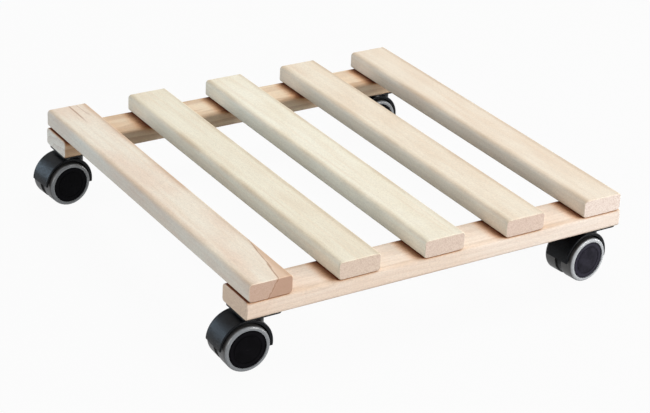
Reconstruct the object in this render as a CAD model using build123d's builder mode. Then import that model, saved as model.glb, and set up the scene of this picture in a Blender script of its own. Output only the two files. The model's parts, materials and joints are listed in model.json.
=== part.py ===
"""Plant caddy: wooden slats on two cross rails, carried by four swivelling twin-wheel casters.

Millimetres, +Z up, the floor at Z = 0. X runs along the rails and Y along the slats, towards the back.
The origin is on the floor under the middle of the whole footprint. All four casters trail towards -X,
as they stand after a pull to the right, so the deck's own centre lies a little to +X of the origin.
"""
import os
from math import asin, degrees, sqrt

from build123d import *

# Deck
slat_count = 5
slat_length = 350.0
slat_width = 37.0
slat_thickness = 15.0
slat_gap = 39.6
rail_width = 37.0
rail_height = 15.0
rail_overhang = 1.3
rear_rail_inset = 1.3
long_edge_radius = 3.0
end_easing = 0.6
deck_centre_x = 9.0

# Screws in the wood, all driven up from below
screw_d = 3.5
screw_tip_length = 3.0
screw_clearance = 0.05
slat_screw_head_d = 7.0
slat_screw_spacing = 18.0
slat_screw_sink = 0.2
wood_over_slat_screw = 5.0
plate_screw_head_d = 6.4
plate_screw_head_height = 1.2
wood_over_plate_screw = 2.5

# Caster plate and riveted swivel pin
plate_size = 32.0
plate_thickness = 1.5
plate_corner_radius = 4.0
plate_hole_spacing = 23.0
plate_hole_clearance = 0.25
caster_inset = 16.5
pin_d = 6.0
pin_rivet_spread = 1.3
pin_chamfer = 0.4
pin_floor = 0.6

# Caster housing: hood, collar round the pin and central web
swivel_trail = 12.0
running_clearance = 0.05
swivel_gap = 0.3
collar_wall = 4.7
collar_chamfer = 0.4
collar_fillet = 1.0
hood_width = 24.0
hood_wall = 2.0
hood_lean = 0.8
hood_clearance = 1.3
hood_to_plate = 2.2
hood_front_drop = 3.2
hood_rear_rise = 1.0
hood_edge_radius = 0.9
web_thickness = 6.0
web_boss_radius = 7.0
web_tip_radius = 1.2

# Wheels and axle
wheel_d = 38.0
wheel_pair_width = 31.0
wheel_side_gap = 0.5
tyre_thickness = 3.2
tyre_outer_shoulder = 2.2
tyre_inner_shoulder = 1.0
tyre_key_height = 0.6
tyre_key_width = 4.0
axle_d = 5.0
axle_chamfer = 0.4
axle_end_gap = 0.3
hub_end_wall = 2.4
hub_boss_wall = 2.6
rim_wall = 2.0
face_thickness = 2.0
face_rim_width = 1.6
face_rim_drop = 0.9
face_dome_drop = 0.6
face_groove_radius = 11.2
face_groove_width = 0.7
face_groove_depth = 0.35
rib_count = 6
rib_thickness = 1.2
rib_setback = 1.5

# How far each caster stands turned from straight along X, in degrees
front_left_turn = -2.2
front_right_turn = 6.6
rear_left_turn = 4.8
rear_right_turn = 3.0

# Heights and places that follow from the sizes above
axle_z = wheel_d / 2
hood_inner_radius = wheel_d / 2 + hood_clearance
hood_outer_radius = hood_inner_radius + hood_wall
plate_bottom_z = axle_z + hood_outer_radius + hood_to_plate
rail_bottom_z = plate_bottom_z + plate_thickness
slat_bottom_z = rail_bottom_z + rail_height
slat_pitch = slat_width + slat_gap
rail_length = (slat_count - 1) * slat_pitch + slat_width + 2 * rail_overhang
front_rail_y = -slat_length / 2 + rail_width / 2
rear_rail_y = slat_length / 2 - rear_rail_inset - rail_width / 2
pin_x = rail_length / 2 - caster_inset
pilot_radius = screw_d / 2 + screw_clearance
slat_xs = [(i - (slat_count - 1) / 2) * slat_pitch for i in range(slat_count)]
slat_screw_length = rail_height + slat_thickness - wood_over_slat_screw - slat_screw_sink
plate_screw_length = plate_thickness + rail_height - wood_over_plate_screw

os.makedirs("parts", exist_ok=True)


def save(shape, node):
    """Label one finished piece and write it under its node name."""
    shape.label = node
    export_step(shape, f"parts/{node}.step")


# Slat: a board with rounded long edges and blind holes for the screws that come up through the rails
with BuildPart() as slat:
    with BuildSketch(Plane.XZ.offset(slat_length / 2)):
        with Locations((0, slat_bottom_z + slat_thickness / 2)):
            RectangleRounded(slat_width, slat_thickness, long_edge_radius)
    extrude(amount=-slat_length)
    chamfer(slat.faces().filter_by(Axis.Y).edges(), end_easing)
    with BuildSketch(Plane.XY.offset(slat_bottom_z)):
        with Locations((0, front_rail_y), (0, rear_rail_y)):
            with GridLocations(slat_gap, slat_screw_spacing, 1, 2):
                Circle(pilot_radius)
    extrude(amount=slat_thickness - wood_over_slat_screw + screw_clearance, mode=Mode.SUBTRACT)

for i, x in enumerate(slat_xs):
    save(slat.part.moved(Location((deck_centre_x + x, 0, 0))), f"slat_{i + 1}")

# Rail: countersunk through holes under each slat and blind holes for the two caster plates
with BuildPart() as rail:
    with BuildSketch(Plane.YZ.offset(-rail_length / 2)):
        with Locations((0, rail_bottom_z + rail_height / 2)):
            RectangleRounded(rail_width, rail_height, long_edge_radius)
    extrude(amount=rail_length)
    chamfer(rail.faces().filter_by(Axis.X).edges(), end_easing)
    underside = Plane(origin=(0, 0, rail_bottom_z), x_dir=(1, 0, 0), z_dir=(0, 0, -1))
    with Locations(underside):
        with GridLocations(slat_pitch, slat_screw_spacing, slat_count, 2):
            CounterSinkHole(
                radius=pilot_radius,
                counter_sink_radius=slat_screw_head_d / 2 + screw_clearance + slat_screw_sink,
                depth=rail_height,
                counter_sink_angle=90,
            )
    with BuildSketch(Plane.XY.offset(rail_bottom_z)):
        with GridLocations(2 * pin_x, rail_width, 2, 1):
            with GridLocations(plate_hole_spacing, plate_hole_spacing, 2, 2):
                Circle(pilot_radius)
    extrude(amount=rail_height - wood_over_plate_screw + screw_clearance, mode=Mode.SUBTRACT)

for node, y in (("front_rail", front_rail_y), ("rear_rail", rear_rail_y)):
    save(rail.part.moved(Location((deck_centre_x, y, 0))), node)

# Slat screws of one rail: countersunk heads just under flush, points up in the slats
slat_screw_z = rail_bottom_z + slat_screw_sink
with BuildPart() as slat_screws:
    with GridLocations(slat_pitch, slat_screw_spacing, slat_count, 2):
        with Locations((0, 0, slat_screw_z)):
            Cone(
                slat_screw_head_d / 2,
                screw_d / 2,
                (slat_screw_head_d - screw_d) / 2,
                align=(Align.CENTER, Align.CENTER, Align.MIN),
            )
            Cylinder(
                screw_d / 2,
                slat_screw_length - screw_tip_length,
                align=(Align.CENTER, Align.CENTER, Align.MIN),
            )
        with Locations((0, 0, slat_screw_z + slat_screw_length - screw_tip_length)):
            Cone(screw_d / 2, 0, screw_tip_length, align=(Align.CENTER, Align.CENTER, Align.MIN))

for node, y in (("front_rail_screws", front_rail_y), ("rear_rail_screws", rear_rail_y)):
    save(slat_screws.part.moved(Location((deck_centre_x, y, 0))), node)

# The caster pieces below are made round the swivel axis, which is the Z axis, with the wheels towards -X
axle_centre = (-swivel_trail, 0, axle_z)
side_plane = Plane(origin=axle_centre, x_dir=(1, 0, 0), z_dir=(0, -1, 0))
axle_axis = Axis(axle_centre, (0, 1, 0))
axle_plane = Plane(origin=axle_centre, x_dir=(1, 0, 0), z_dir=(0, 0, 1))

# Mounting plate: rounded steel square with four screw holes and a countersunk hole for the pin's rivet end
with BuildPart() as plate:
    with BuildSketch(Plane.XY.offset(plate_bottom_z)):
        RectangleRounded(plate_size, plate_size, plate_corner_radius)
        with GridLocations(plate_hole_spacing, plate_hole_spacing, 2, 2):
            Circle(screw_d / 2 + plate_hole_clearance, mode=Mode.SUBTRACT)
    extrude(amount=plate_thickness)
    with Locations((0, 0, rail_bottom_z)):
        CounterSinkHole(
            radius=pin_d / 2,
            counter_sink_radius=pin_d / 2 + pin_rivet_spread,
            depth=plate_thickness,
            counter_sink_angle=90,
        )

# Plate screws: low heads under the plate, points up in the rail
with BuildPart() as plate_screws:
    with GridLocations(plate_hole_spacing, plate_hole_spacing, 2, 2):
        with Locations((0, 0, plate_bottom_z)):
            Cylinder(
                plate_screw_head_d / 2,
                plate_screw_head_height,
                align=(Align.CENTER, Align.CENTER, Align.MAX),
            )
            Cylinder(
                screw_d / 2,
                plate_screw_length - screw_tip_length,
                align=(Align.CENTER, Align.CENTER, Align.MIN),
            )
        with Locations((0, 0, plate_bottom_z + plate_screw_length - screw_tip_length)):
            Cone(screw_d / 2, 0, screw_tip_length, align=(Align.CENTER, Align.CENTER, Align.MIN))
    head_rims = plate_screws.edges().group_by(Axis.Z)[0]
    fillet(head_rims, plate_screw_head_height / 2)

# Swivel pin: riveted flush into the plate, its plain end down in the housing's collar
pin_end_z = axle_z + sqrt(hood_inner_radius**2 - (swivel_trail - pin_d / 2) ** 2) + pin_floor
with BuildPart() as pin:
    with BuildSketch(Plane.XZ):
        with BuildLine():
            Polyline(
                (0, pin_end_z),
                (pin_d / 2 - pin_chamfer, pin_end_z),
                (pin_d / 2, pin_end_z + pin_chamfer),
                (pin_d / 2, rail_bottom_z - pin_rivet_spread),
                (pin_d / 2 + pin_rivet_spread, rail_bottom_z),
                (0, rail_bottom_z),
                close=True,
            )
        make_face()
    revolve(axis=Axis.Z)

# Housing: a curved hood over both wheels, leaning forward, with the collar rising from its front
collar_top_z = plate_bottom_z - swivel_gap
collar_radius = pin_d / 2 + running_clearance + collar_wall
web_radius = hood_inner_radius + hood_wall / 3
web_tip_x = hood_inner_radius - web_tip_radius / 2
room = 2 * hood_outer_radius
with BuildPart() as housing:
    with BuildSketch(side_plane):
        with Locations((hood_lean, 0)):
            Circle(hood_outer_radius)
    extrude(amount=hood_width / 2, both=True)
    fillet(housing.edges().filter_by(GeomType.CIRCLE), hood_edge_radius)
    with BuildSketch(Plane.XY.offset(axle_z)):
        Circle(collar_radius)
    extrude(amount=collar_top_z - axle_z)
    junction = housing.edges(Select.NEW).filter_by(GeomType.BSPLINE)
    fillet(junction, collar_fillet)
    collar_rim = housing.edges().filter_by(GeomType.CIRCLE).group_by(Axis.Z)[-1]
    chamfer(collar_rim, collar_chamfer)
    # Room for the wheels under the hood, and the hood's open underside
    with BuildSketch(side_plane):
        Circle(hood_inner_radius)
        with Locations((0, -hood_front_drop)):
            Rectangle(room, room, align=(Align.MIN, Align.MAX))
        with Locations((0, hood_rear_rise)):
            Rectangle(room, room, align=(Align.MAX, Align.MAX))
    extrude(amount=hood_width, both=True, mode=Mode.SUBTRACT)
    # Central web: fills the hood between the wheels and narrows down to the axle's boss
    with BuildSketch(side_plane):
        Circle(web_radius)
        with Locations((0, hood_rear_rise)):
            Rectangle(room, room, align=(Align.CENTER, Align.MIN), mode=Mode.INTERSECT)
    with BuildSketch(side_plane):
        Circle(web_boss_radius)
        with Locations(
            (web_tip_x, web_tip_radius - hood_front_drop),
            (-web_tip_x, web_tip_radius + hood_rear_rise),
        ):
            Circle(web_tip_radius)
        make_hull()
    extrude(amount=web_thickness / 2, both=True)
    # Bores: a press fit for the axle and a running fit for the pin
    with BuildSketch(side_plane):
        Circle(axle_d / 2)
    extrude(amount=web_thickness, both=True, mode=Mode.SUBTRACT)
    with BuildSketch(Plane.XY.offset(collar_top_z)):
        Circle(pin_d / 2 + running_clearance)
    extrude(amount=pin_end_z - running_clearance - collar_top_z, mode=Mode.SUBTRACT)

# Axle: one steel rod through the web, with a wheel running on each end
wheel_inner = web_thickness / 2 + wheel_side_gap
wheel_outer = wheel_pair_width / 2
bore_end = wheel_outer - hub_end_wall
axle_end = bore_end - axle_end_gap
with BuildPart() as axle:
    with BuildSketch(side_plane):
        Circle(axle_d / 2)
    extrude(amount=axle_end, both=True)
    chamfer(axle.edges().filter_by(GeomType.CIRCLE), axle_chamfer)

# Wheel: a moulded dish, open and ribbed towards the web, with a closed and slightly domed outer face
core_radius = wheel_d / 2 - tyre_thickness
rim_inner_radius = core_radius - rim_wall
bore_radius = axle_d / 2 + running_clearance
boss_radius = bore_radius + hub_boss_wall
face_back = wheel_outer - face_rim_drop - face_thickness
dome_radius = core_radius - face_rim_width
sphere_radius = (dome_radius**2 + face_dome_drop**2) / (2 * face_dome_drop)
with BuildPart() as wheel:
    with BuildSketch(axle_plane) as wheel_section:
        with BuildLine():
            outline = Polyline(
                (0, bore_end),
                (bore_radius, bore_end),
                (bore_radius, wheel_inner),
                (boss_radius, wheel_inner),
                (boss_radius, face_back),
                (rim_inner_radius, face_back),
                (rim_inner_radius, wheel_inner),
                (core_radius, wheel_inner),
                (core_radius, wheel_outer - face_rim_drop),
                (dome_radius, wheel_outer - face_rim_drop),
                (dome_radius, wheel_outer - face_dome_drop),
            )
            dome = CenterArc(
                (0, wheel_outer - sphere_radius),
                sphere_radius,
                90,
                -degrees(asin(dome_radius / sphere_radius)),
            )
            Line(dome @ 0, outline @ 0)
        make_face()
        with Locations((face_groove_radius, wheel_outer)):
            Rectangle(face_groove_width, 2 * (face_dome_drop / 2 + face_groove_depth), mode=Mode.SUBTRACT)
        with Locations((core_radius, (wheel_inner + wheel_outer) / 2)):
            Rectangle(2 * tyre_key_height, tyre_key_width)
    revolve(axis=axle_axis)
    with BuildSketch(side_plane.offset(-wheel_inner - rib_setback)):
        with PolarLocations((boss_radius + rim_inner_radius) / 2, rib_count):
            Rectangle(rim_inner_radius - boss_radius + rim_wall, rib_thickness)
    extrude(amount=wheel_inner + rib_setback - face_back - face_thickness / 2)

# Tyre: a soft ring keyed onto the wheel's rim, rounded more on its outer shoulder
with BuildPart() as tyre:
    with BuildSketch(axle_plane) as tyre_section:
        with Locations((core_radius, wheel_inner)):
            Rectangle(tyre_thickness, wheel_outer - wheel_inner, align=(Align.MIN, Align.MIN))
        tread_corners = tyre_section.vertices().group_by(Axis.X)[-1].sort_by(Axis.Y)
        fillet(tread_corners[-1], tyre_outer_shoulder)
        fillet(tread_corners[0], tyre_inner_shoulder)
        with Locations((core_radius, (wheel_inner + wheel_outer) / 2)):
            Rectangle(2 * tyre_key_height, tyre_key_width, mode=Mode.SUBTRACT)
    revolve(axis=axle_axis)

# Four casters: the inner wheel of each is the one towards the middle of the deck
corners = (
    ("front_left", -pin_x, front_rail_y, front_left_turn, "outer", "inner"),
    ("front_right", pin_x, front_rail_y, front_right_turn, "outer", "inner"),
    ("rear_left", -pin_x, rear_rail_y, rear_left_turn, "inner", "outer"),
    ("rear_right", pin_x, rear_rail_y, rear_right_turn, "inner", "outer"),
)
for corner, x, y, turn, front_side, back_side in corners:
    place = Location((deck_centre_x + x, y, 0))
    turned = Location((deck_centre_x + x, y, 0), (0, 0, turn))
    save(plate.part.moved(place), f"{corner}_plate")
    save(plate_screws.part.moved(place), f"{corner}_plate_screws")
    save(pin.part.moved(place), f"{corner}_swivel_pin")
    save(housing.part.moved(turned), f"{corner}_housing")
    save(axle.part.moved(turned), f"{corner}_axle")
    save(wheel.part.moved(turned), f"{corner}_{back_side}_wheel")
    save(tyre.part.moved(turned), f"{corner}_{back_side}_tyre")
    save(mirror(wheel.part, about=Plane.XZ).moved(turned), f"{corner}_{front_side}_wheel")
    save(mirror(tyre.part, about=Plane.XZ).moved(turned), f"{corner}_{front_side}_tyre")
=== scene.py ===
"""Plant caddy: looks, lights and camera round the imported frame. Metres, in the frame's own axes."""
import json
import math

import bmesh
import bpy
from mathutils import Matrix, Vector


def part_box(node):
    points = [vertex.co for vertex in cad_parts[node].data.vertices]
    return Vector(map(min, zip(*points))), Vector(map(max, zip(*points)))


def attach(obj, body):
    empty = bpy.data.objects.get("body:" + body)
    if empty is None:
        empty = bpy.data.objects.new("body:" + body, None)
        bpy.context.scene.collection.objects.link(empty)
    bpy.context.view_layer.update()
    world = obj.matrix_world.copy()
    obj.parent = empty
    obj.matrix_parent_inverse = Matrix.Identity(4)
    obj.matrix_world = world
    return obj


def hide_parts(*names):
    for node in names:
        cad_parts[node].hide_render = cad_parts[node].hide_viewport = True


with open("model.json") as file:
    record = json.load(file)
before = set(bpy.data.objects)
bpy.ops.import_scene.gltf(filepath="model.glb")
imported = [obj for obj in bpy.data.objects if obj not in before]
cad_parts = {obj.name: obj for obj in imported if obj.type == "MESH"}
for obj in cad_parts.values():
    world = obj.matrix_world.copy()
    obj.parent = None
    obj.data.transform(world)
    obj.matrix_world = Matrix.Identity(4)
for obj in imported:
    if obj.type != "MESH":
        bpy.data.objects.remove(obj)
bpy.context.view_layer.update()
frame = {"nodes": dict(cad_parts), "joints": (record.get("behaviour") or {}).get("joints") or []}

MM = 0.001
PER_METRE = 1000
ALONG_X, ALONG_Y = 0, 1
TO_RIGHT, TO_FRONT = (1.0, 0.0, 0.0), (0.0, -1.0, 0.0)

nodes = frame["nodes"]
joints = {joint["name"]: joint for joint in frame["joints"]}
corners = ("front_left", "front_right", "rear_left", "rear_right")


class Graph:
    """The node tree of a material or world, with short calls for the nodes used here."""

    def __init__(self, owner):
        self.owner = owner
        owner.use_nodes = True
        self.tree = owner.node_tree
        self.tree.nodes.clear()

    def add(self, kind, inputs=None, **settings):
        node = self.tree.nodes.new("ShaderNode" + kind)
        for key, setting in settings.items():
            setattr(node, key, setting)
        for key, value in (inputs or {}).items():
            self.put(node.inputs[key], value)
        return node

    def put(self, socket, value):
        """Link an output to a socket, or give the socket a fixed value."""
        if isinstance(value, bpy.types.NodeSocket):
            self.tree.links.new(value, socket)
        else:
            socket.default_value = value

    def math(self, operation, *values, clamp=False):
        node = self.add("Math", operation=operation, use_clamp=clamp)
        for socket, value in zip(node.inputs, values):
            self.put(socket, value)
        return node.outputs[0]

    def plus(self, a, b):
        return self.math("ADD", a, b)

    def minus(self, a, b):
        return self.math("SUBTRACT", a, b)

    def times(self, a, b):
        return self.math("MULTIPLY", a, b)

    def size(self, a):
        return self.math("ABSOLUTE", a)

    def vector(self, operation, *values, out="Vector"):
        node = self.add("VectorMath", operation=operation)
        for socket, value in zip(node.inputs, values):
            self.put(socket, value)
        return node.outputs[out]

    def dot(self, a, b):
        return self.vector("DOT_PRODUCT", a, b, out="Value")

    def scaled(self, vector, factor):
        """A vector times a number, or times one number for each axis."""
        factors = factor if isinstance(factor, tuple) else (factor, factor, factor)
        return self.vector("MULTIPLY", vector, factors)

    def millimetres(self, origin=(0.0, 0.0, 0.0)):
        """Where a point of the object lies from an origin in metres, in mm."""
        place = self.add("TexCoord").outputs["Object"]
        return self.scaled(self.vector("SUBTRACT", place, origin), PER_METRE)

    def noise(self, vector, detail=2.0, roughness=0.5):
        inputs = {"Vector": vector, "Scale": 1.0, "Detail": detail, "Roughness": roughness}
        return self.add("TexNoise", inputs).outputs["Fac"]

    def smooth(self, value, low, high, to_low=0.0, to_high=1.0):
        inputs = {"Value": value, "From Min": low, "From Max": high, "To Min": to_low, "To Max": to_high}
        return self.add("MapRange", inputs, interpolation_type="SMOOTHSTEP").outputs["Result"]

    def mix(self, factor, a, b, blend="MIX"):
        """Two colours mixed. The node has its colour sockets after those for numbers and vectors."""
        inputs = {"Factor": factor, 6: a, 7: b}
        return self.add("Mix", inputs, data_type="RGBA", blend_type=blend, clamp_factor=True).outputs[2]

    def surface(self, color, roughness, height, depth, **fixed):
        """The material, with a bump of a height from 0 to 1 times a depth in metres."""
        bump = self.add("Bump", {"Height": height, "Strength": 1.0, "Distance": depth})
        inputs = {"Base Color": color, "Roughness": roughness, "Normal": bump.outputs["Normal"]}
        inputs.update({key.replace("_", " "): value for key, value in fixed.items()})
        shader = self.add("BsdfPrincipled", inputs)
        self.add("OutputMaterial", {"Surface": shader.outputs[0]})
        return self.owner

    def shows_backdrop(self):
        """1 for the rays that see the white backdrop: straight, off gloss, or through glass."""
        path = self.add("LightPath").outputs
        shown = self.plus(path["Is Camera Ray"], path["Is Glossy Ray"])
        return self.math("ADD", shown, path["Is Transmission Ray"], clamp=True)


def linear(red, green, blue):
    """A colour given as it looks on screen, 0 to 255, as the shader wants it."""
    out = []
    for c in (red, green, blue):
        c /= 255
        out.append(c / 12.92 if c <= 0.04045 else ((c + 0.055) / 1.055) ** 2.4)
    return (*out, 1.0)


def toned(color, factor):
    """A colour made darker or lighter by a factor."""
    return (*(c * factor for c in color[:3]), 1.0)


def dress(name, material):
    slots = nodes[name].data.materials
    slots.clear()
    slots.append(material)


# Wood
STREAK = linear(222, 198, 172)
LATE_WOOD = linear(176, 132, 96)
# Painted light: the pale tone a front face is painted with towards its far end
PAINTED_LIGHT_TONE = linear(243, 236, 229)
FLECK = linear(184, 148, 116)
END_RING = linear(172, 134, 112)
END_PORE = linear(172, 138, 118)
TAN = linear(211, 178, 150)
TAN_END = linear(184, 148, 126)
CRACK = linear(150, 108, 78)
# Painted shade where boards lie on each other: its warm rim, its dark core, its reach, and the tilt that puts it
# left of each board
PAINTED_SHADE_RIM = linear(236, 198, 164)
PAINTED_SHADE_CORE = linear(134, 84, 50)
HANDLED = linear(206, 190, 170)
PAINTED_SHADE_REACH = 14 * MM
PAINTED_SHADE_TILT = (0.55, 0.0, 0.15)


def marked(g, color, marks, run, side, up, streak, is_end):
    """A board's colour with its marks. Each mark is (kind, across, run, lean, length, strength), in mm from
    the board's middle: a line through (across, run) that leans along the board and through its thickness, and
    bends with the streaks. A "patch" is the tan wood to the right of it, a "line" a thin dark crack along it."""
    tan = g.mix(is_end, TAN, TAN_END)
    bend = g.times(g.minus(streak, 0.5), 5.0)
    for kind, across, start, lean, length, strength in marks:
        slant = g.times(g.minus(run, start), lean)
        edge = g.plus(g.minus(g.minus(side, across), slant), bend)
        edge = g.plus(edge, g.times(up, -0.55))
        reach = g.smooth(g.size(g.minus(run, start)), length * 0.55, length, strength, 0.0)
        if kind == "patch":
            color = g.mix(g.times(g.smooth(edge, -2.0, 2.5), reach), color, tan)
        else:
            line = g.smooth(g.size(edge), 0.25, 0.75, 1.0, 0.0)
            color = g.mix(g.times(line, reach), color, CRACK)
    return color


def painted_contact_shade(g, color, normal, depth):
    """A board's colour with painted shade: warm dark contact shadows where other boards lie on it, darkest to
    the left of each.
    Faces that look left stay clear."""
    tilted = g.vector("NORMALIZE", g.vector("ADD", normal, PAINTED_SHADE_TILT))
    clear = g.add("AmbientOcclusion", {"Distance": PAINTED_SHADE_REACH, "Normal": tilted}, samples=8).outputs["AO"]
    strength = g.smooth(g.dot(normal, TO_RIGHT), -0.9, -0.5, 0.0, depth)
    color = g.mix(g.smooth(clear, 0.50, 0.84, strength, 0.0), color, PAINTED_SHADE_RIM, "MULTIPLY")
    return g.mix(g.smooth(clear, 0.26, 0.66, strength, 0.0), color, PAINTED_SHADE_CORE, "MULTIPLY")


def wood(node, along, pale, warm, end, seed, grain=0.06, pith=(30, -80), ring=3.4, marks=(),
         painted_shade_depth=0.0, painted_light_end=0.0):
    """Sawn and sanded beech for one board, as a solid texture, so that the grain meets at every edge.

    along: the board's long axis. pale, warm, end: the two tones of its sides and the tone of its cut ends, as
    they look on screen. seed: its place in the tree. grain: how much the rings show. pith: where the tree's
    middle lies across the board and up, in mm from the board's own middle. ring: a ring's width in mm.
    marks: as in marked. painted_shade_depth: how dark the painted contact shade is where boards lie on it, 0 to
    1.
    painted_light_end: how much its front face is painted paler towards the far end of the long axis, as painted
    light, 0 to 1."""
    g = Graph(bpy.data.materials.new(f"beech {node}"))
    low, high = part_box(node)
    half = (high - low) / 2 * PER_METRE
    mm = g.millimetres(tuple((low + high) / 2))
    split = g.add("SeparateXYZ", {"Vector": mm}).outputs
    run, side, up = split[along], split[1 - along], split[2]
    normal = g.add("TexCoord").outputs["Normal"]

    def stretched(across_scale, along_scale, shift):
        """Where to read a noise that is drawn out along the board."""
        scales = [across_scale] * 3
        scales[along] = along_scale
        moved = g.vector("ADD", mm, (seed * 7.3 + shift, seed * 3.1 - shift, seed * 5.7 + 2 * shift))
        return g.scaled(moved, tuple(scales))

    # Growth rings round the pith: faint on the slats, clearest on the rear rail
    wander = g.noise(stretched(0.02, 0.006, 11.0), detail=1.0)
    drift = g.times(g.minus(wander, 0.5), 16.0)
    from_pith_side = g.minus(g.plus(side, drift), pith[0])
    from_pith_up = g.minus(up, pith[1])
    squares = g.plus(g.times(from_pith_side, from_pith_side), g.times(from_pith_up, from_pith_up))
    wobble = g.noise(stretched(0.12, 0.012, 3.0), detail=2.0)
    years = g.plus(g.math("DIVIDE", g.math("SQRT", squares), ring), g.times(wobble, 1.4))
    season = g.math("FRACT", years)
    late = g.times(g.smooth(season, 0.2, 0.9), g.smooth(season, 0.9, 1.0, 1.0, 0.0))

    fibre = g.noise(stretched(2.4, 0.22, 5.0), detail=4.0, roughness=0.65)
    cloud = g.noise(stretched(0.05, 0.014, 21.0), detail=3.0)
    streak = g.noise(stretched(0.30, 0.010, 31.0), detail=3.0)
    grit = g.noise(stretched(0.95, 0.62, 41.0), detail=3.0, roughness=0.75)

    # Two tones in soft clouds, long streaks, rings, and painted light: a front face painted paler towards its
    # far end
    tone = g.mix(g.smooth(cloud, 0.35, 0.68), linear(*pale), linear(*warm))
    tone = g.mix(g.smooth(streak, 0.50, 0.72, 0.0, 0.24), tone, STREAK)
    tone = g.mix(g.times(late, grain), tone, LATE_WOOD)
    painted_paling = g.smooth(g.dot(normal, TO_FRONT), 0.5, 0.9, 0.0, painted_light_end)
    tone = g.mix(g.smooth(run, -20, 0.96 * half[along], 0.0, painted_paling), tone, PAINTED_LIGHT_TONE)

    # Fine fibres, sanding grit and the short dark flecks of beech
    shade = g.plus(g.smooth(fibre, 0.30, 0.70, -0.060, 0.035), g.smooth(grit, 0.36, 0.64, 0.925, 1.03))
    grey = g.add("CombineColor", {"Red": shade, "Green": shade, "Blue": shade}).outputs[0]
    tone = g.mix(1.0, tone, grey, "MULTIPLY")
    cells = g.add("TexVoronoi", {"Vector": stretched(0.85, 0.26, 9.0), "Scale": 1.0}, feature="F1").outputs
    chance = g.add("SeparateColor", {"Color": cells["Color"]}).outputs[0]
    fleck = g.times(g.smooth(cells["Distance"], 0.24, 0.08), g.math("GREATER_THAN", chance, 0.55))
    tone = g.mix(g.times(fleck, 0.34), tone, FLECK)

    # Cut ends: rings and open pores
    facing_end = g.add("SeparateXYZ", {"Vector": normal}).outputs[along]
    is_end = g.smooth(g.size(facing_end), 0.75, 0.95)
    pores = g.noise(g.scaled(mm, 1.5), detail=3.0, roughness=0.65)
    end_tone = g.mix(g.times(late, 0.7 * grain), linear(*end), END_RING)
    end_tone = g.mix(g.smooth(pores, 0.42, 0.64, 0.0, 0.42), end_tone, END_PORE)
    color = g.mix(is_end, tone, end_tone)

    if marks:
        color = marked(g, color, marks, run, side, up, streak, is_end)
    # Painted shade: warm dark contact shadows where other boards lie on this one
    color = painted_contact_shade(g, color, normal, painted_shade_depth)

    # Handled edges: a little greyer and smoother along the rounded corners
    side_share = g.math("DIVIDE", g.size(side), half[1 - along])
    up_share = g.math("DIVIDE", g.size(up), half[2])
    near_edge = g.smooth(g.plus(side_share, up_share), 1.62, 1.9)
    handled = g.times(near_edge, g.smooth(cloud, 0.3, 0.7, 0.25, 0.6))
    color = g.mix(handled, color, HANDLED, "MULTIPLY")

    rough = g.minus(g.smooth(fibre, 0.2, 0.8, 0.52, 0.68), g.times(handled, 0.12))
    height = g.minus(g.times(fibre, 0.7), g.times(fleck, 0.5))
    height = g.minus(height, g.times(g.times(is_end, pores), 0.8))
    return g.surface(color, rough, height, 0.08 * MM, Specular_IOR_Level=0.22)


# Slats: the sides' two tones and the cut ends' tone, as they look on screen
slat_tones = {
    "slat_1": ((233, 224, 208), (228, 210, 192), (200, 172, 154)),
    "slat_2": ((231, 225, 206), (226, 216, 195), (222, 204, 188)),
    "slat_3": ((234, 229, 212), (229, 221, 201), (224, 206, 192)),
    "slat_4": ((229, 219, 201), (225, 211, 191), (222, 202, 188)),
    "slat_5": ((228, 217, 200), (224, 209, 190), (237, 224, 214)),
}
slat_marks = {
    "slat_1": (
        ("patch", 9.0, 175, -0.03, 150, 0.55),
        ("patch", 2.0, -175, 0.17, 120, 0.75),
        ("line", 2.0, -175, 0.17, 85, 0.65),
        ("patch", 10.0, 10, 0.10, 26, 0.45),
        ("line", -3.0, 175, 0.02, 42, 0.6),
        ("line", 3.0, 175, -0.10, 30, 0.4),
    ),
}
for seed, (slat, tones) in enumerate(slat_tones.items(), start=1):
    dress(slat, wood(slat, ALONG_Y, *tones, seed, marks=slat_marks.get(slat, ())))
# The front rail's front face is painted paler towards its right end, as painted light
dress("front_rail", wood("front_rail", ALONG_X, (239, 224, 209), (232, 212, 194), (230, 205, 180), seed=6,
                         grain=0.10, pith=(40, 70), painted_shade_depth=1.0, painted_light_end=0.45))
dress("rear_rail", wood("rear_rail", ALONG_X, (240, 221, 195), (222, 191, 158), (244, 235, 220), seed=7,
                        grain=0.32, pith=(-14, -40), ring=6.5, painted_shade_depth=1.0))


# Casters
SCUFF = linear(40, 43, 47)
# The tyres' running band: painted darker as painted shade, in two tones mixed by dust
TREAD_PAINTED_SHADE, TREAD_DUSTY_PAINTED_SHADE = linear(36, 36, 36), linear(60, 58, 57)
ZINC_BLUE, ZINC_YELLOW = linear(196, 199, 203), linear(190, 187, 176)
TYRE_SIDE = 15.5  # mm from the axle's middle to each tyre's outer side


def turned(g, centre, axis):
    """For a part on an axle, in mm: distance from the axle's line, distance along it, and place."""
    mm = g.millimetres(centre)
    along = g.dot(mm, axis)
    spread = g.add("CombineXYZ", {"X": along, "Y": along, "Z": along}).outputs[0]
    flat = g.vector("SUBTRACT", mm, g.vector("MULTIPLY", spread, axis))
    return g.vector("LENGTH", flat, out="Value"), along, mm


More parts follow.
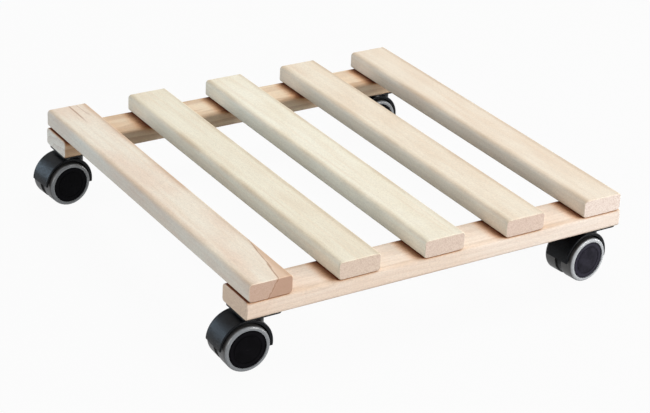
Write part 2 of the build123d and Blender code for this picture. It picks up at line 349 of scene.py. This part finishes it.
def plastic(name, color, cloud_color, roughness, specular):
    """Black moulded plastic, or a near-black plate that stands as painted shade, with a fine rough skin, soft
    clouds and scuffs.
    """
    g = Graph(bpy.data.materials.new(name))
    mm = g.millimetres()
    skin = g.noise(g.scaled(mm, 1.1), detail=4.0, roughness=0.75)
    cloud = g.noise(g.scaled(mm, 0.09), detail=2.0)
    scuffs = g.noise(g.scaled(mm, (0.5, 0.09, 0.5)), detail=4.0, roughness=0.6)
    scuffed = g.smooth(scuffs, 0.60, 0.72)
    base = g.mix(g.smooth(cloud, 0.3, 0.7), color, cloud_color)
    base = g.mix(g.times(scuffed, 0.35), base, SCUFF)
    rough = g.smooth(g.plus(cloud, g.times(scuffed, 0.4)), 0.3, 0.7, roughness, roughness + 0.08)
    return g.surface(base, rough, skin, 0.22 * MM, Specular_IOR_Level=specular)


def hub(name, centre, axis, base):
    """The wheel's black body: smudges, fine turned rings, and a satin band near its rim painted lighter, as a
    painted reflection.
    """
    g = Graph(bpy.data.materials.new(name))
    radius, _, mm = turned(g, centre, axis)
    skin = g.noise(g.scaled(mm, 6.0), detail=3.0, roughness=0.6)
    smudge = g.noise(g.scaled(mm, 0.16), detail=3.0)
    rings = g.math("SINE", g.times(radius, 9.0))
    # Painted reflection: a lighter, rougher band near the rim
    band = g.minus(g.smooth(radius, 12.4, 12.8), g.smooth(radius, 14.4, 14.8))
    color = g.mix(g.smooth(smudge, 0.35, 0.7), base, toned(base, 0.55))
    color = g.mix(g.times(band, 0.4), color, toned(base, 1.8))
    rough = g.smooth(g.plus(band, smudge), 0.3, 1.3, 0.34, 0.48)
    height = g.plus(g.times(skin, 0.6), g.times(rings, 0.12))
    return g.surface(color, rough, height, 0.04 * MM, Specular_IOR_Level=0.03)


def tread(name, centre, axis, light, dull):
    """Soft tyre: a light grey moulded outer shoulder, and a running band painted darker as painted shade, with
    patches of dust.
    """
    g = Graph(bpy.data.materials.new(name))
    radius, along, mm = turned(g, centre, axis)
    dust = g.noise(g.scaled(mm, 0.9), detail=4.0, roughness=0.6)
    fine = g.noise(g.scaled(mm, 7.0), detail=2.0)
    near_side = g.smooth(g.size(along), TYRE_SIDE - 2.4, TYRE_SIDE - 1.0)
    shoulder = g.times(near_side, g.smooth(radius, 18.95, 18.35))
    # Painted shade: the running band is darker than the tyre's grey, with dusty patches
    running = g.mix(g.smooth(dust, 0.35, 0.7), TREAD_PAINTED_SHADE, TREAD_DUSTY_PAINTED_SHADE)
    moulded = g.mix(g.smooth(dust, 0.35, 0.75, 0.0, 0.6), light, dull)
    rough = g.plus(g.smooth(dust, 0.3, 0.7, 0.40, 0.50), g.times(shoulder, -0.22))
    return g.surface(g.mix(shoulder, running, moulded), rough, fine, 0.03 * MM, Specular_IOR_Level=0.6)


def zinc(name, roughness):
    """Bright zinc plating: faint blue and yellow clouds, fine drawn lines."""
    g = Graph(bpy.data.materials.new(name))
    mm = g.millimetres()
    cloud = g.noise(g.scaled(mm, 0.25), detail=3.0)
    lines = g.noise(g.scaled(mm, (8.0, 0.6, 8.0)), detail=2.0)
    base = g.mix(g.smooth(cloud, 0.35, 0.7), ZINC_BLUE, ZINC_YELLOW)
    rough = g.smooth(lines, 0.3, 0.7, roughness, roughness + 0.12)
    return g.surface(base, rough, lines, 0.02 * MM, Metallic=1.0)


housing_black = plastic("housing plastic", linear(9, 11, 14), linear(13, 16, 20), 0.28, 0.11)
# The plates under the rails: near black, as painted shade
plate_painted_shade = plastic("plate in painted shade", linear(9, 9, 10), linear(14, 14, 15), 0.42, 0.2)
zinc_rod = zinc("zinc rod", 0.22)

# Hub, tyre's light tone, tyre's dull tone. The front right caster's are paler: painted light, a painted
# reflection on the hub and lit tyres
wheel_tones_with_painted_light = {
    "front_left": ((10, 9, 12), (128, 132, 136), (110, 113, 116)),
    "front_right": ((44, 43, 52), (178, 182, 186), (152, 155, 158)),
    "rear_left": ((9, 9, 12), (128, 132, 136), (110, 113, 116)),
    "rear_right": ((9, 9, 12), (128, 132, 136), (110, 113, 116)),
}
for corner in corners:
    spin = joints[f"{corner}_outer_spin"]
    centre, axis = tuple(spin["pos_m"]), tuple(spin["axis"])
    face_tone, light, dull = (linear(*tone) for tone in wheel_tones_with_painted_light[corner])
    face = hub(f"hub {corner}", centre, axis, face_tone)
    soft = tread(f"tread {corner}", centre, axis, light, dull)
    for side in ("inner", "outer"):
        dress(f"{corner}_{side}_wheel", face)
        dress(f"{corner}_{side}_tyre", soft)
    dress(f"{corner}_housing", housing_black)
    dress(f"{corner}_plate", plate_painted_shade)
    for part in ("plate_screws", "swivel_pin", "axle"):
        dress(f"{corner}_{part}", zinc_rod)
for node in ("front_rail_screws", "rear_rail_screws"):
    dress(node, zinc_rod)


# Fastener heads with a cross recess, in place of the plain solids, and the fin between the wheels
SHANK_RADIUS = 1.75 * MM
POINT_LENGTH = 3 * MM
SCREW_STEPS, FIN_STEPS = 32, 72
SMOOTH_BELOW = math.radians(40)

# Heads: (radius, height above the face), from the face up. Recesses: (arm, half width, depth)
sunk_head = ((3.3 * MM, 0), (3.5 * MM, 0.15 * MM), (SHANK_RADIUS, 1.9 * MM))
sunk_recess = (2.2 * MM, 0.45 * MM, 1.3 * MM)
pan_head = ((2.55 * MM, 0), (2.9 * MM, 0.1 * MM), (3.1 * MM, 0.3 * MM), (3.2 * MM, 0.6 * MM),
            (3.2 * MM, 1.2 * MM), (SHANK_RADIUS, 1.2 * MM))
pan_recess = (1.9 * MM, 0.4 * MM, 0.9 * MM)
slat_screw_pitch = 18 * MM
plate_hole_pitch = 23 * MM

# The fin's section: (distance from the axle's line, distance along it)
fin_section = ((2.6 * MM, -2.6 * MM), (17.5 * MM, -2.6 * MM), (17.9 * MM, -2.2 * MM),
               (17.9 * MM, 2.2 * MM), (17.5 * MM, 2.6 * MM), (2.6 * MM, 2.6 * MM))


def join_rings(bm, lower, upper):
    for i in range(len(lower)):
        j = (i + 1) % len(lower)
        bm.faces.new((lower[i], lower[j], upper[j], upper[i]))


def turned_rings(bm, place, section, steps):
    """A ring of points round a place's Z for each (radius, height) of a section."""
    angles = [2 * math.pi * i / steps for i in range(steps)]
    return [
        [bm.verts.new(place @ Vector((radius * math.cos(a), radius * math.sin(a), height))) for a in angles]
        for radius, height in section
    ]


def cross_outline(arm, half_width):
    """The twelve corners of a cross, going round."""
    w = half_width
    return [(arm, -w), (arm, w), (w, w), (w, arm), (-w, arm), (-w, w),
            (-arm, w), (-arm, -w), (-w, -w), (-w, -arm), (w, -arm), (w, -w)]


def add_screw(bm, foot, head, recess, length):
    """One screw, point up, with the face of its head down at the foot."""
    arm, half_width, depth = recess
    section = (*head, (SHANK_RADIUS, length - POINT_LENGTH))
    rings = turned_rings(bm, Matrix.Translation(foot), section, SCREW_STEPS)
    for lower, upper in zip(rings, rings[1:]):
        join_rings(bm, lower, upper)
    tip = bm.verts.new(foot + Vector((0, 0, length)))
    face_edges = []
    for i in range(SCREW_STEPS):
        j = (i + 1) % SCREW_STEPS
        bm.faces.new((rings[-1][i], rings[-1][j], tip))
        face_edges.append(bm.edges.get((rings[0][i], rings[0][j])))

    mouth = [bm.verts.new(foot + Vector((x, y, 0))) for x, y in cross_outline(arm, half_width)]
    bottom = [
        bm.verts.new(foot + Vector((x, y, depth)))
        for x, y in cross_outline(arm * 0.55, half_width * 0.6)
    ]
    face_edges += [bm.edges.new((a, b)) for a, b in zip(mouth, mouth[1:] + mouth[:1])]
    bmesh.ops.triangle_fill(bm, use_beauty=True, edges=face_edges, normal=(0, 0, -1))
    join_rings(bm, mouth, bottom)
    bm.faces.new(bottom)


def finish_piece(bm, name, material):
    bmesh.ops.recalc_face_normals(bm, faces=bm.faces)
    mesh = bpy.data.meshes.new(name)
    bm.to_mesh(mesh)
    bm.free()
    for polygon in mesh.polygons:
        polygon.use_smooth = True
    mesh.set_sharp_from_angle(angle=SMOOTH_BELOW)
    mesh.materials.append(material)
    piece = bpy.data.objects.new(name, mesh)
    bpy.context.scene.collection.objects.link(piece)
    return piece


for rail in ("front_rail", "rear_rail"):
    rail_low, rail_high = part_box(rail)
    rail_y = (rail_low[1] + rail_high[1]) / 2
    low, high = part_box(f"{rail}_screws")
    bm = bmesh.new()
    for slat in slat_tones:
        slat_low, slat_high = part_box(slat)
        slat_x = (slat_low[0] + slat_high[0]) / 2
        for shift in (-slat_screw_pitch / 2, slat_screw_pitch / 2):
            add_screw(bm, Vector((slat_x, rail_y + shift, low[2])), sunk_head, sunk_recess, high[2] - low[2])
    piece = finish_piece(bm, f"{rail}_screw_set", zinc_rod)
    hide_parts(f"{rail}_screws")
    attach(piece, "deck")

for corner in corners:
    low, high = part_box(f"{corner}_plate_screws")
    middle = (low + high) / 2
    bm = bmesh.new()
    for dx in (-plate_hole_pitch / 2, plate_hole_pitch / 2):
        for dy in (-plate_hole_pitch / 2, plate_hole_pitch / 2):
            foot = Vector((middle[0] + dx, middle[1] + dy, low[2]))
            add_screw(bm, foot, pan_head, pan_recess, high[2] - low[2])
    piece = finish_piece(bm, f"{corner}_plate_screw_set", zinc_rod)
    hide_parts(f"{corner}_plate_screws")
    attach(piece, "deck")

    spin = joints[f"{corner}_outer_spin"]
    to_axis = Vector((0, 0, 1)).rotation_difference(Vector(spin["axis"])).to_matrix().to_4x4()
    bm = bmesh.new()
    rings = turned_rings(bm, Matrix.Translation(spin["pos_m"]) @ to_axis, fin_section, FIN_STEPS)
    for lower, upper in zip(rings, rings[1:] + rings[:1]):
        join_rings(bm, lower, upper)
    piece = finish_piece(bm, f"{corner}_fin", housing_black)
    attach(piece, f"{corner}_caster")


# Floor: takes the object's shadow, and shows nearly white
FLOOR_HALF = 6.0
FLOOR_DROP = 0.2 * MM
FLOOR_WHITE_SHARE = 0.955
g = Graph(bpy.data.materials.new("pale floor"))
share = g.times(g.shows_backdrop(), FLOOR_WHITE_SHARE)
diffuse = g.add("BsdfDiffuse", {"Color": (0.30, 0.30, 0.30, 1)})
glow = g.add("Emission", {"Color": (1, 1, 1, 1), "Strength": 1.0})
blend = g.add("MixShader", {0: share, 1: diffuse.outputs[0], 2: glow.outputs[0]})
g.add("OutputMaterial", {"Surface": blend.outputs[0]})
mesh = bpy.data.meshes.new("floor")
outline = [(x * FLOOR_HALF, y * FLOOR_HALF, 0) for x, y in ((-1, -1), (1, -1), (1, 1), (-1, 1))]
mesh.from_pydata(outline, [], [(0, 1, 2, 3)])
mesh.materials.append(g.owner)
floor = bpy.data.objects.new("floor", mesh)
bpy.context.scene.collection.objects.link(floor)
floor.location.z = -FLOOR_DROP

# World: white to look at and in reflections, a softer white as light
world = bpy.data.worlds.new("studio")
bpy.context.scene.world = world
g = Graph(world)
soft_sky = g.add("Background", {"Color": (0.97, 0.985, 1.0, 1), "Strength": 0.21})
white_sky = g.add("Background", {"Color": (1, 1, 1, 1), "Strength": 1.0})
blend = g.add("MixShader", {0: g.shows_backdrop(), 1: soft_sky.outputs[0], 2: white_sky.outputs[0]})
g.add("OutputWorld", {"Surface": blend.outputs[0]})


def softbox(name, place, target, size, power, color):
    """A rectangular lamp at a place, in metres, that faces a target. power: in watts."""
    lamp = bpy.data.lights.new(name, "AREA")
    lamp.shape = "RECTANGLE"
    lamp.size, lamp.size_y = size
    lamp.energy = power
    lamp.color = color
    lamp_object = bpy.data.objects.new(name, lamp)
    bpy.context.scene.collection.objects.link(lamp_object)
    lamp_object.location = place
    lamp_object.rotation_mode = "QUATERNION"
    lamp_object.rotation_quaternion = (Vector(target) - Vector(place)).to_track_quat("-Z", "Y")


softbox("key", (0.55, 0.25, 1.50), (0, 0, 0.05),
        size=(0.8, 0.8), power=18.2, color=(1.0, 0.985, 0.96))
softbox("front fill", (1.00, -1.55, 0.55), (0, 0, 0.05),
        size=(0.9, 0.6), power=26.0, color=(1.0, 0.98, 0.965))
softbox("right rim", (1.40, -0.50, 0.13), (0, -0.1, 0.03),
        size=(0.5, 0.2), power=4.5, color=(1.0, 0.99, 0.98))
softbox("cool back", (-0.95, 1.10, 0.30), (-0.05, 0, 0.03),
        size=(0.5, 0.4), power=9.0, color=(0.60, 0.80, 1.0))
softbox("left fill", (-0.85, -0.62, 0.30), (-0.05, -0.15, 0.05),
        size=(0.4, 0.3), power=2.6, color=(1.0, 0.97, 0.94))

# Camera: the photo's direction, distance and roll, in degrees and metres
azimuth, elevation, roll = (math.radians(v) for v in (-32.68, 26.2, 2.77))
aim = Vector((-0.0301, -0.0640, 0.0600))
distance = 1.5724
focal_pixels, picture_pixels = 1972, 650
back = Vector((
    math.sin(azimuth) * math.cos(elevation),
    -math.cos(azimuth) * math.cos(elevation),
    math.sin(elevation),
))
level = (-back).cross(Vector((0, 0, 1))).normalized()
upright = level.cross(-back)
right = level * math.cos(roll) + upright * math.sin(roll)
top = upright * math.cos(roll) - level * math.sin(roll)
lens = bpy.data.cameras.new("camera")
lens.sensor_width = 36.0
lens.lens = focal_pixels / picture_pixels * lens.sensor_width
lens.clip_start, lens.clip_end = 0.05, 50.0
camera = bpy.data.objects.new("camera", lens)
bpy.context.scene.collection.objects.link(camera)
turn = Matrix((right, top, back)).transposed()
camera.matrix_world = Matrix.Translation(aim + back * distance) @ turn.to_4x4()
bpy.context.scene.camera = camera
bpy.context.scene.view_settings.view_transform = "Standard"
